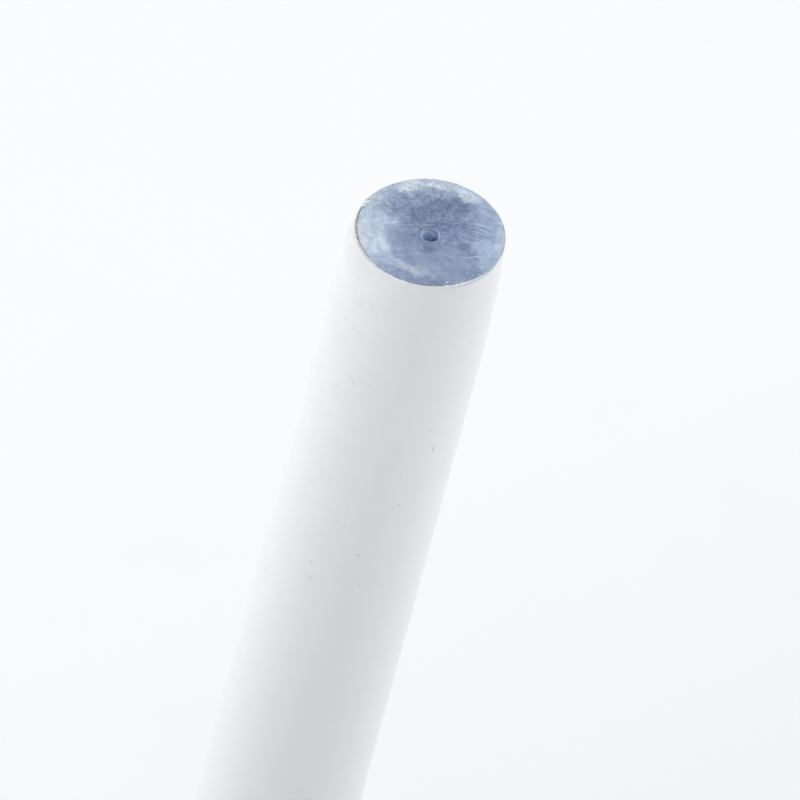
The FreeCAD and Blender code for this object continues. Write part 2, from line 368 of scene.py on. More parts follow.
def rim_height(azimuth):
    """Height of the wrapper's torn edge over the plane of the cut."""
    angle = mark_angle(azimuth)
    ragged = 0.022 * rim_waves(azimuth, 0.55, 31) + 0.012 * rim_waves(azimuth, 0.16, 32)
    notch = -0.16 * near(angle, 160, 3.2) + 0.10 * near(angle, 154, 4.0)
    chip = 0.05 * near(angle, -71.5, 2.2) - 0.03 * near(angle, -76, 3.0)
    frayed = 0.08 * near(angle, -112, 34) * rim_waves(azimuth, 0.12, 33)
    low = -0.055 * (1 - near(angle, -172, 60)) * (1 - near(angle, -48, 34))
    return (ragged + notch + chip + frayed + low - 0.015) * MM


def barrel_waviness(place):
    """The wrapper isn't perfectly round: it follows the turns under it."""
    long_place = Vector((place.x, place.y, place.z * 0.35))
    return (0.009 * waves(long_place, 3.4 * MM, 41) + 0.0012 * waves(place, 0.9 * MM, 42)) * MM


def pressed(z):
    """How far the lap is burnished flat: wholly at the cut, not at all from 6 mm below it."""
    return smooth(END_Z - 6 * MM, END_Z - 1.2 * MM, z)


def sheet_base(turned, z):
    """Inner radius of the sheet after that much of its turn: over the lap, down the step, and round."""
    high = BARREL_RADIUS + LAP_PASTE - (SHEET * 0.48 + LAP_PASTE) * pressed(z)
    return high + (PASTE_RADIUS - high) * smooth(LAP_SPAN, LAP_SPAN + LAP_STEP, turned)


def sheet_thickness(turned, z):
    """The sheet's thickness: its two ends are burnished thin where they lap at the cut."""
    upper = 1 - smooth(LAP_SPAN, LAP_SPAN + LAP_STEP, turned)
    lower = smooth(FULL_TURN - LAP_STEP, FULL_TURN, turned)
    return SHEET * (1 - 0.5 * pressed(z) * max(upper, lower))


def sheet_section(turned, heights):
    """Closed outline of the sheet at one azimuth: up the outside, over the edge, down the inside."""
    azimuth = LAP_START + turned
    edge = cut_edge(azimuth, BARREL_RADIUS)
    top = cut_height(edge * math.cos(azimuth)) + rim_height(azimuth)
    loose = stand_off(azimuth)
    outline = []
    for side, shares in (("out", heights), ("in", heights[::-1][::3] + heights[:1])):
        outside = SHEET if side == "out" else 0.0
        bottom = cone_height(sheet_base(turned, POINT_Z) + outside)
        bottom += 0.05 * MM * rim_waves(azimuth, 0.5, 34)
        reach = top - bottom
        for share in shares:
            z = bottom + reach * share
            base = sheet_base(turned, z)
            if side == "out":
                base += sheet_thickness(turned, z)
            away = loose * smooth(top - 1.6 * MM, top, z) + bulge(azimuth, top - z)
            wavy = barrel_waviness(at(azimuth, BARREL_RADIUS, z))
            crisp = 0.018 * MM * smooth(top - 0.035 * MM, top, z) * (-1 if side == "out" else 1)
            outline.append(at(azimuth, layer_radius(base, z) + away + wavy + crisp, z))
    return outline


def make_wrapper(material):
    length = END_Z - POINT_Z
    edge_steps = (0.5, 0.4, 0.3, 0.22, 0.16, 0.11, 0.07, 0.04, 0.018, 0)
    near_edge = [1 - distance * MM / length for distance in edge_steps]
    shoulder = span(1 - 10 * MM / length, 1 - 0.75 * MM / length, 20)
    heights = [0, 0.002, 0.005] + span(0.01, 1 - 11 * MM / length, 96) + shoulder + near_edge
    rows = [sheet_section(turned, heights) for turned in span(0, FULL_TURN + LAP_SPAN, SHEET_SPOKES)]
    return make_piece("white_sheet", [(rows, False)], material, "wrapper_paper", "wrapper")


# ---- Paste: the film under the wrapper, the strip under its lap, and the line at the roll's tail ----


def make_wrapper_paste(material):
    """The film shows at the cut, where the wrapper has let go: a thin, broken, brown bead."""
    rows = []
    for azimuth in span(0, FULL_TURN, PASTE_SPOKES)[:-1]:
        edge_in = cut_edge(azimuth, ROLL_RADIUS) + 0.004 * MM
        edge_out = cut_edge(azimuth, PASTE_RADIUS) + stand_off(azimuth) * 0.96
        plane = cut_height(edge_out * math.cos(azimuth))
        bead = 0.025 * rim_waves(azimuth, 0.3, 51) + 0.015 * rim_waves(azimuth, 0.1, 52)
        top = plane + (bead - 0.05 - 0.12 * (1 - let_go(azimuth))) * MM
        low = cone_height(ROLL_RADIUS) + 0.1 * MM
        outline = [at(azimuth, ROLL_RADIUS + 0.004 * MM, low), at(azimuth, PASTE_RADIUS - 0.004 * MM, low)]
        for z in span(SHOULDER_Z, plane - 1.5 * MM, 8):
            outline.append(at(azimuth, layer_radius(PASTE_RADIUS - 0.004 * MM, z), z))
        outline.append(at(azimuth, edge_out, top - 0.10 * MM))
        for share in (1.0, 0.75, 0.5, 0.25, 0.0):
            lift = 0.02 * MM * math.sin(share * math.pi)
            outline.append(at(azimuth, edge_in + (edge_out - edge_in) * share, top - 0.02 * MM + lift))
        outline.append(at(azimuth, edge_in, top - 0.10 * MM))
        for z in span(plane - 1.5 * MM, SHOULDER_Z, 8):
            outline.append(at(azimuth, layer_radius(ROLL_RADIUS + 0.004 * MM, z), z))
        rows.append(outline)
    return make_piece("paste_film", [(rows, True)], material, "paste", "wrapper_paste")


def strip_rows(start, width, inner, outer, lift, sunk=0.0):
    """A thin strip along the barrel: rows go round it, columns up one side and down the other."""
    rows = []
    for turned in span(0, width, STRIP_SPOKES):
        azimuth = start + turned
        outline = []
        for base, direction in ((outer, 1), (inner, -1)):
            bottom = cone_height(base) + 0.05 * MM
            top = cut_height(cut_edge(azimuth, base) * math.cos(azimuth)) - lift
            for z in span(bottom, top, 90)[::direction]:
                wavy = barrel_waviness(at(azimuth, BARREL_RADIUS, z))
                here = base - (sunk + (base - inner) * 0.9) * pressed(z) if sunk else base
                outline.append(at(azimuth, layer_radius(here, z) + wavy, z))
        rows.append(outline)
    return rows


def make_lap_paste(material):
    """The strip under the lap, with a few dried beads squeezed out along the edge."""
    over = BARREL_RADIUS + LAP_PASTE * 0.98
    skins = [(strip_rows(LAP_START, LAP_SPAN, BARREL_RADIUS, over, 0.35 * MM, SHEET / 2), False)]
    dice = random.Random(4)
    for _ in range(LAP_BEADS):
        z = dice.uniform(POINT_Z + 2 * MM, END_Z - 3 * MM)
        size = dice.uniform(0.05, 0.11) * MM
        long = size * dice.uniform(2, 9)
        centre = at(LAP_START, layer_radius(BARREL_RADIUS, z), z)
        skins.append((bead_rows(centre, UP, size, long), False))
    return make_piece("lap_strip", skins, material, "paste", "lap_paste")


def make_tail_paste(material):
    """The line of paste one turn inside the roll. Its end shows at the cut only as a thin seam."""
    outer = ROLL_RADIUS - TURN
    rows = strip_rows(TAIL_START, TAIL_SPAN, outer - 0.05 * MM, outer, 0.02 * MM)
    return make_piece("tail_line", [(rows, False)], material, "paste", "tail_paste")


def bead_rows(centre, along, size, long):
    """A small rounded blob, longer along one direction."""
    side = along.orthogonal().normalized()
    other = along.cross(side)
    rows = []
    for turn in span(0.12, math.pi - 0.12, 6):
        ring = []
        for angle in span(0, FULL_TURN, 8)[:-1]:
            across = side * math.cos(angle) + other * math.sin(angle)
            ring.append(centre - along * math.cos(turn) * long + across * math.sin(turn) * size)
        rows.append(ring)
    return rows


# ---- Loose fibres and specks ----


def fibre_rows(start, heading, bend, length, thickness, surface=None):
    """A fine bent fibre. surface, if given, keeps its points on the object."""
    points, here = [], start.copy()
    for _ in range(9):
        points.append(surface(here) if surface else here.copy())
        here += heading * length / 8
        heading = (heading + bend).normalized()
    rows = []
    for number, point in enumerate(points):
        ahead = points[min(number + 1, 8)] - points[max(number - 1, 0)]
        side = ahead.orthogonal().normalized()
        other = ahead.normalized().cross(side)
        width = thickness * (1 - 0.7 * abs(number / 4 - 1) ** 3)
        ring = [side * math.cos(angle) + other * math.sin(angle) for angle in span(0, FULL_TURN, 5)[:-1]]
        rows.append([point + across * width for across in ring])
    return rows


def on_barrel(point):
    azimuth = math.atan2(point.y, point.x)
    radius = layer_radius(BARREL_RADIUS, point.z) + barrel_waviness(at(azimuth, BARREL_RADIUS, point.z))
    below = cut_height(FACE_RADIUS * math.cos(azimuth)) - point.z
    return at(azimuth, radius + bulge(azimuth, below), point.z)


# The marks in plain sight: azimuth, millimetres below the cut, length (0 for a speck), size, slant.
PLAIN_MARKS = (
    (-44.3, 15.5, 0.55, 0.075, 0.3), (-113.7, 10.5, 0.9, 0.03, -0.6), (-81.4, 5.0, 0, 0.035, 0),
    (-97.2, 4.4, 0, 0.03, 0), (-63.0, 8.3, 0, 0.03, 0), (-61.0, 20.1, 0.2, 0.07, 1.2),
    (-81.0, 24.9, 0.2, 0.08, 1.6), (-111.2, 26.8, 0, 0.045, 0), (-106.6, 28.3, 0.35, 0.045, -1.2))


def make_barrel_specks(dark_material):
    """Dark specks and short fibres caught in the wrapper's surface, more of them near the cut end."""
    dice = random.Random(12)
    skins = []

    def add(start, heading, bend, length, size):
        if length:
            rows = fibre_rows(start, heading, bend, length, size * 0.5, on_barrel)
        else:
            rows = bead_rows(start, heading, size, size * 1.5)
        skins.append((rows, False))

    for angle, down, length, size, slant in PLAIN_MARKS:
        azimuth = math.radians(angle)
        across = round_from(azimuth)
        start = on_barrel(at(azimuth, BARREL_RADIUS, END_Z - down * MM))
        add(start, (UP + across * slant).normalized(), across * -0.08, length * MM, size * MM)
    for _ in range(BARREL_SPECKS):
        z = END_Z - 2 * MM - abs(dice.gauss(0, 0.42)) * (END_Z - POINT_Z)
        azimuth = dice.uniform(0, FULL_TURN)
        if z < POINT_Z + MM or LAP_START < azimuth < LAP_START + LAP_SPAN + LAP_STEP:
            continue
        start = on_barrel(at(azimuth, BARREL_RADIUS, z))
        across = round_from(azimuth)
        heading = (UP * dice.choice((-1, 1)) + across * dice.uniform(-1, 1)).normalized()
        size = dice.uniform(0.010, 0.022) * MM
        long = dice.random() < 0.2
        bend = across * dice.uniform(-0.25, 0.25)
        add(start, heading, bend, dice.uniform(0.2, 0.6) * MM if long else 0, size)
    return make_piece("wrapper_specks", skins, dark_material, "roll_paper")


def make_point_fuzz(material):
    """Short fibres raised by sanding, all over the point."""
    dice = random.Random(30)
    skins = []
    for _ in range(POINT_FIBRES):
        z = TIP_Z + 0.4 * MM + dice.random() ** 0.8 * (POINT_Z - TIP_Z)
        azimuth = dice.uniform(0, FULL_TURN)
        out = at(azimuth, 1, 0)
        across = round_from(azimuth)
        start = at(azimuth, cone_radius(z) - 0.02 * MM, z)
        heading = out * dice.uniform(0.15, 0.5) + across * dice.uniform(-1, 1) + UP * dice.uniform(-1, 1)
        bend = Vector([dice.uniform(-0.2, 0.2) for _ in range(3)]) - out * 0.05
        length = dice.uniform(0.25, 0.8) * MM
        thickness = dice.uniform(0.007, 0.013) * MM
        skins.append((fibre_rows(start, heading.normalized(), bend, length, thickness), False))
    return make_piece("point_fuzz", skins, material, "roll_paper")


def make_rim_fray(material):
    """A few short fibres and crumbs standing out of the wrapper's cut edge."""
    dice = random.Random(8)
    skins = []
    for _ in range(RIM_FIBRES):
        azimuth = dice.uniform(0, FULL_TURN)
        edge = cut_edge(azimuth, BARREL_RADIUS) + stand_off(azimuth) - 0.03 * MM
        start = at(azimuth, edge, cut_height(edge * math.cos(azimuth)) + rim_height(azimuth) - 0.02 * MM)
        out = at(azimuth, 1, 0)
        across = round_from(azimuth)
        heading = UP * dice.uniform(0.2, 1) + across * dice.uniform(-1, 1) + out * dice.uniform(-0.6, 0.4)
        bend = Vector((dice.uniform(-0.3, 0.3), dice.uniform(-0.3, 0.3), -0.1))
        length, thickness = dice.uniform(0.08, 0.26) * MM, dice.uniform(0.008, 0.016) * MM
        skins.append((fibre_rows(start, heading.normalized(), bend, length, thickness), False))
    # Direction on the cut end, share of the way out from the hole to the roll's edge, size in millimetres.
    crumbs = ((-71.3, 0.955, 0.055), (-64, 0.97, 0.028), (-51, 0.86, 0.032), (-47.5, 0.91, 0.024),
              (-43, 0.99, 0.030), (157, 0.975, 0.140), (151.5, 0.985, 0.060), (161, 0.995, 0.090))
    along = Vector((0.6, 0.5, 0.3)).normalized()
    for angle, share, size in crumbs:
        azimuth = math.radians(angle) + MARK_SPIN
        crumb = face_point(azimuth, share) + CUT_NORMAL * 0.02 * MM
        skins.append((bead_rows(crumb, along, size * MM, size * 1.4 * MM), False))
    return make_piece("rim_fray", skins, material, "wrapper_paper")


# ---- Materials ----


def paint(*levels):
    """A colour given as it looks, 0 to 255, in the linear numbers that shaders take."""
    shares = [level / 255 for level in levels]
    return (*[s / 12.92 if s <= 0.04045 else ((s + 0.055) / 1.055) ** 2.4 for s in shares], 1.0)


def cut_end_tint(*levels):
    """A colour for the cut end, as it looks once lit, painted a little bluer: used for pigment, and for the
    painted shade and highlight on the cut end and the hole's lip.
    """
    return tuple(level * gain for level, gain in zip(paint(*levels), (0.993, 1.0, 1.015, 1.0)))


class Nodes:
    """A node tree being built. Each method adds nodes and returns the socket with their result."""

    def __init__(self, tree):
        self.tree = tree

    def add(self, kind):
        return self.tree.nodes.new("ShaderNode" + kind)

    def link(self, value, socket):
        """Connect a socket, or set a plain value."""
        if isinstance(value, bpy.types.NodeSocket):
            self.tree.links.new(value, socket)
        else:
            socket.default_value = value

    def math(self, operation, first, second):
        node = self.add("Math")
        node.operation = operation
        self.link(first, node.inputs[0])
        self.link(second, node.inputs[1])
        return node.outputs[0]

    def times(self, first, second):
        return self.math("MULTIPLY", first, second)

    def mix(self, share, first, second, blend="MIX"):
        node = self.add("Mix")
        node.data_type = "RGBA"
        node.blend_type = blend
        colours = [socket for socket in node.inputs if socket.type == "RGBA"]
        self.link(share, node.inputs["Factor"])
        self.link(first, colours[0])
        self.link(second, colours[1])
        return [socket for socket in node.outputs if socket.type == "RGBA"][0]

    def split(self, source):
        node = self.add("SeparateXYZ")
        self.link(source, node.inputs[0])
        return tuple(node.outputs)

    def join(self, x, y=0.0):
        node = self.add("CombineXYZ")
        self.link(x, node.inputs[0])
        self.link(y, node.inputs[1])
        return node.outputs[0]


class Shader(Nodes):
    """A material being built."""

    def __init__(self, name):
        self.material = bpy.data.materials.new(name)
        self.material.use_nodes = True
        super().__init__(self.material.node_tree)
        self.surface = self.tree.nodes["Principled BSDF"]
        self.object_place = self.add("TexCoord").outputs["Object"]

    def vector(self, operation, first, second=None, result="Vector"):
        node = self.add("VectorMath")
        node.operation = operation
        self.link(first, node.inputs[0])
        if second is not None:
            self.link(second, node.inputs["Scale" if operation == "SCALE" else 1])
        return node.outputs[result]

    def length(self, source):
        return self.vector("LENGTH", source, result="Value")

    def place(self, source, location=(0, 0, 0), rotation=(0, 0, 0), size=(1, 1, 1)):
        """source as seen from a frame at that location, turned and sized so."""
        node = self.add("Mapping")
        node.vector_type = "TEXTURE"
        names = ("Vector", "Location", "Rotation", "Scale")
        for value, name in zip((source, location, rotation, size), names):
            self.link(value, node.inputs[name])
        return node.outputs["Vector"]

    def face_place(self):
        """Place on the cut end: across and up, with the rim at 1, and over the plane of the cut."""
        turn = Matrix.Rotation(-CUT_TILT, 3, "Y") @ Matrix.Rotation(MARK_SPIN, 3, "Z")
        return self.place(self.object_place, END_CENTRE, turn.to_euler("XYZ"), (FACE_RADIUS,) * 3)

    def noise(self, source, size=1.0, detail=3.0, rough=0.5, result="Fac"):
        node = self.add("TexNoise")
        for value, name in zip((source, 1 / size, detail, rough), ("Vector", "Scale", "Detail", "Roughness")):
            self.link(value, node.inputs[name])
        return node.outputs[result]

    def remap(self, value, low, high, to_low=0.0, to_high=1.0):
        node = self.add("MapRange")
        node.interpolation_type = "SMOOTHSTEP"
        names = ("Value", "From Min", "From Max", "To Min", "To Max")
        for name, number in zip(names, (value, low, high, to_low, to_high)):
            self.link(number, node.inputs[name])
        return node.outputs["Result"]

    def warp(self, source, size, amount, detail=2.0):
        """source pushed about by noise, so that what is placed in it gets a ragged outline."""
        push = self.vector("SUBTRACT", self.noise(source, size, detail, result="Color"), (0.5, 0.5, 0.5))
        return self.vector("ADD", source, self.vector("SCALE", push, amount))

    def patch(self, source, across, up, width, height, turned=0.0, soft=0.5):
        """1 inside an ellipse on the cut end, 0 outside, with a soft edge."""
        seen = self.place(source, (across, up, 0), (0, 0, math.radians(turned)), (width, height, 1))
        return self.remap(self.length(seen), 1 + soft, 1 - soft)

    def bump(self, height, distance, under=None):
        node = self.add("Bump")
        self.link(height, node.inputs["Height"])
        node.inputs["Distance"].default_value = distance
        if under is not None:
            self.link(under, node.inputs["Normal"])
        return node.outputs["Normal"]

    def finish(self, colour, roughness, normal, specular=0.5):
        names = ("Base Color", "Roughness", "Normal", "Specular IOR Level")
        for value, name in zip((colour, roughness, normal, specular), names):
            self.link(value, self.surface.inputs[name])
        return self.material


def make_white_paper():
    """Smooth white paper: a faint tooth, cloudy formation, pigment rubbed on near the cut, and painted shade
    on the left shoulder, under the edge at the lower right, away from the cut and in a stipple.
    """
    shader = Shader("white_paper")
    place = shader.object_place
    cloudy = shader.noise(place, 2.2 * MM, 4, 0.6)
    colour = shader.mix(cloudy, paint(243, 244, 246), paint(248, 248, 250))
    rubbed = shader.noise(shader.place(place, size=(1, 1, 2.2)), 0.55 * MM, 4, 0.65)
    x, _, z = shader.split(place)
    near_cut = shader.remap(z, END_Z - 1.3 * MM, END_Z + 0.2 * MM)
    smudge = shader.times(shader.remap(rubbed, 0.52, 0.72), shader.times(near_cut, 0.35))
    colour = shader.mix(smudge, colour, paint(196, 206, 222))

    # Where the edge was burnished with the roll, pigment covers it too.
    face = shader.face_place()
    over = shader.split(shader.warp(face, 0.05, 0.012))[2]
    edge = shader.remap(over, -0.034, -0.024)
    covered = shader.patch(shader.warp(face, 0.2, 0.1), 0.77, 0.30, 0.92, 1.08, soft=0.15)
    ragged = shader.times(shader.remap(shader.noise(face, 0.06, 4, 0.7), 0.50, 0.58), 0.42)
    covered = shader.times(edge, shader.math("MAXIMUM", covered, ragged))
    # Painted shade: a grey-blue line just below the wrapper's edge at the lower right, for the shadow in the
    # gap between the roll and the wrapper.
    under = shader.times(shader.remap(over, -0.054, -0.047), shader.remap(over, -0.034, -0.040))
    low_right = shader.patch(face, 0.76, -0.74, 0.42, 0.20, turned=42, soft=0.4)
    under = shader.times(shader.times(under, low_right), 0.7)
    colour = shader.mix(under, colour, paint(160, 173, 198))
    blotch = shader.remap(shader.noise(face, 0.2, 3), 0.4, 0.6)
    edge_colour = shader.mix(blotch, paint(188, 202, 224), paint(208, 217, 230))
    # On the left, where it stands away from the roll, painted shade: a grey band below the torn edge, broken
    # up by grain, and a cream-grey on the edge itself.
    loose = shader.patch(face, -0.86, -0.05, 0.55, 0.72, soft=0.3)
    lip = shader.times(loose, shader.remap(over, -0.60, -0.02, 0.0, 0.44))
    grain = shader.remap(shader.noise(place, 0.26 * MM, 4, 0.7), 0.40, 0.60, 0.25, 1.0)
    lip = shader.times(lip, grain)
    colour = shader.mix(lip, colour, paint(216, 217, 220))
    colour = shader.mix(shader.times(loose, edge), colour, paint(226, 225, 220))
    colour = shader.mix(covered, colour, edge_colour)

    # Painted shade: a little greyer away from the cut, for light falling off, and a faint grey stipple on the
    # left and near the cut, for the shade of fine dimples.
    away = shader.remap(z, END_Z - 5 * MM, END_Z - 55 * MM)
    colour = shader.mix(shader.times(away, 0.5), colour, paint(232, 233, 233))
    dimple_shade = shader.remap(shader.noise(place, 0.17 * MM, 3, 0.6), 0.50, 0.72)
    thick = shader.remap(shader.noise(place, 1.6 * MM, 2), 0.42, 0.66, 0.15, 1.0)
    thick = shader.times(thick, shader.remap(x, 3 * MM, -4 * MM, 0.4, 1.1))
    upper = shader.remap(z, END_Z - 32 * MM, END_Z - 4 * MM, 0.12, 0.34)
    dimple_shade = shader.times(dimple_shade, shader.times(thick, upper))
    colour = shader.mix(dimple_shade, colour, paint(208, 210, 214))
    tooth = shader.noise(place, 0.09 * MM, 4, 0.6)
    dents = shader.remap(shader.noise(place, 0.7 * MM, 2), 0.24, 0.42)
    normal = shader.bump(dents, 0.003 * MM, shader.bump(tooth, 0.006 * MM))
    return shader.finish(colour, shader.remap(cloudy, 0.2, 0.8, 0.62, 0.74), normal, specular=0.3)


def make_core_paper():
    """The blue-grey sheet: burnished and smeared on the cut end, felted and layered on the point."""
    shader = Shader("core_paper")
    place = shader.object_place
    colour, shine, relief = face_colour(shader, shader.face_place())
    z = shader.split(place)[2]
    on_face = shader.remap(z, END_Z - 1.6 * MM, END_Z - 1.3 * MM)

    # The point: bands of turns, felt, and grey picked up at the tip.
    flat = shader.place(place, size=FLAT)
    bands = shader.length(shader.warp(flat, 1.8 * MM, 0.16 * MM))
    layers = shader.noise(shader.join(bands), 0.085 * MM, 2, 0.6)
    felt = shader.noise(place, 0.12 * MM, 4, 0.7)
    point = shader.mix(shader.remap(layers, 0.35, 0.68), paint(120, 133, 158), paint(170, 182, 202))
    point = shader.mix(shader.remap(felt, 0.4, 0.75, 0.0, 0.5), point, paint(186, 195, 212))
    used = shader.math("ADD", z, shader.times(shader.noise(place, 1.6 * MM, 4, 0.6), 9 * MM))
    used = shader.remap(used, TIP_Z + 12.5 * MM, TIP_Z + 5 * MM, 0.0, 0.72)
    point = shader.mix(used, point, paint(74, 80, 94))

    colour = shader.mix(on_face, point, colour)
    roughness = shader.mix(on_face, (0.9, 0.9, 0.9, 1), shine)
    layer_normal = shader.bump(layers, 0.03 * MM, shader.bump(felt, 0.02 * MM))
    normal = shader.mix(on_face, layer_normal, shader.bump(relief, 0.02 * MM))
    return shader.finish(colour, roughness, normal, specular=0.4)


# Pigment smeared over the cut end, one ellipse on another: colour, strength, how broken up it is (0 for not
# at all), across, up, width, height, degrees turned, softness of its edge.
DEEP, DARK, BLUE = (124, 138, 168), (104, 118, 152), (158, 175, 204)
PALE, CHALK = (190, 205, 223), (214, 221, 228)
SMEARS = (
    # Broad tones: the blue right side and the slate middle.
    (BLUE, 0.85, 0, 0.80, 0.16, 0.22, 0.46, 12, 0.6),
    ((140, 155, 184), 0.9, 0, 0.12, -0.45, 0.56, 0.36, 0, 0.5),
    ((139, 155, 186), 0.95, 0, 0.62, -0.58, 0.22, 0.24, 30, 0.6),
    # The dark, mottled smear over the upper half.
    (DEEP, 0.95, 0, 0.02, 0.44, 0.50, 0.34, -4, 0.3),
    ((118, 134, 168), 0.65, 1.8, -0.50, 0.50, 0.26, 0.17, -24, 0.6),
    (DARK, 0.7, 1.0, 0.38, 0.60, 0.17, 0.15, 0, 0.6),
    (DARK, 0.5, 1.8, 0.0, 0.55, 0.24, 0.22, 0, 0.8),
    (DARK, 0.5, 1.8, -0.28, 0.36, 0.16, 0.20, 20, 0.8),
    ((96, 112, 148), 0.85, 0.7, 0.28, 0.21, 0.28, 0.07, -8, 0.8),
    ((122, 138, 172), 0.85, 0, 0.38, 0.06, 0.36, 0.2, 0, 0.7),
    ((122, 137, 166), 0.8, 0, -0.20, 0.04, 0.19, 0.22, 0, 0.7),
    ((117, 132, 160), 0.7, 0, -0.10, 0.33, 0.30, 0.16, 0, 0.7),
    (DARK, 0.55, 0.8, 0.52, -0.21, 0.07, 0.17, 38, 0.7),
    ((94, 110, 146), 0.65, 0.6, -0.01, -0.255, 0.12, 0.07, 0, 0.8),
    ((168, 180, 199), 0.75, 0.8, 0.02, 0.74, 0.26, 0.08, -3, 0.8),
    ((160, 175, 199), 0.5, 1.0, -0.36, 0.57, 0.34, 0.13, 24, 0.8),
    ((156, 172, 198), 0.6, 0, -0.47, 0.21, 0.12, 0.2, 8, 0.8),
    # Pale side on the left, running into an arc towards the bottom.
    ((194, 209, 227), 1.0, 0, -0.77, -0.17, 0.2, 0.43, 6, 0.5),
    (PALE, 0.65, 0.4, -0.62, 0.13, 0.17, 0.10, -10, 0.7),
    ((206, 219, 233), 0.8, 0.3, -0.64, -0.38, 0.13, 0.18, 25, 0.7),
    ((188, 199, 213), 0.85, 1.0, -0.38, -0.63, 0.30, 0.06, -32, 0.7),
    ((182, 193, 203), 0.5, 1.3, -0.06, -0.75, 0.19, 0.12, -12, 0.8),
    ((214, 219, 224), 0.8, 0.6, -0.89, -0.18, 0.08, 0.30, 4, 0.7),
    ((178, 193, 216), 0.8, 0.8, -0.53, -0.70, 0.28, 0.09, -34, 0.7),
    # Dark band inside the bottom rim.
    ((108, 125, 160), 0.65, 1.2, -0.36, -0.83, 0.26, 0.07, -24, 0.8),
    ((131, 146, 175), 0.85, 0.6, 0.10, -0.91, 0.46, 0.10, 2, 0.7),
    (DARK, 0.35, 1.4, 0.12, -0.93, 0.34, 0.06, 0, 0.6),
    ((122, 139, 171), 0.6, 1.4, 0.60, -0.70, 0.20, 0.06, 38, 0.7),
    ((120, 136, 166), 0.4, 0.6, 0.38, -0.77, 0.16, 0.08, 20, 0.8),
    # Chalky smudges inside the upper rim, and pale places on the right.
    (CHALK, 0.82, 0.8, -0.37, 0.80, 0.18, 0.12, 25, 0.8),
    (CHALK, 0.85, 0.8, -0.03, 0.87, 0.20, 0.05, -6, 0.8),
    (CHALK, 0.72, 0.8, 0.32, 0.85, 0.24, 0.06, -26, 0.8),
    ((210, 221, 230), 0.8, 0.8, 0.40, 0.77, 0.16, 0.08, -45, 0.8),
    ((204, 211, 219), 0.6, 1.4, -0.76, 0.48, 0.22, 0.10, 48, 0.8),
    ((176, 193, 216), 0.85, 0.6, 0.7, -0.13, 0.13, 0.15, 0, 0.8),
    ((194, 208, 225), 0.8, 0.4, 0.95, 0.10, 0.09, 0.34, 0, 0.7),
    ((172, 190, 214), 0.75, 0.6, 0.79, -0.38, 0.1, 0.2, -25, 0.8),
)


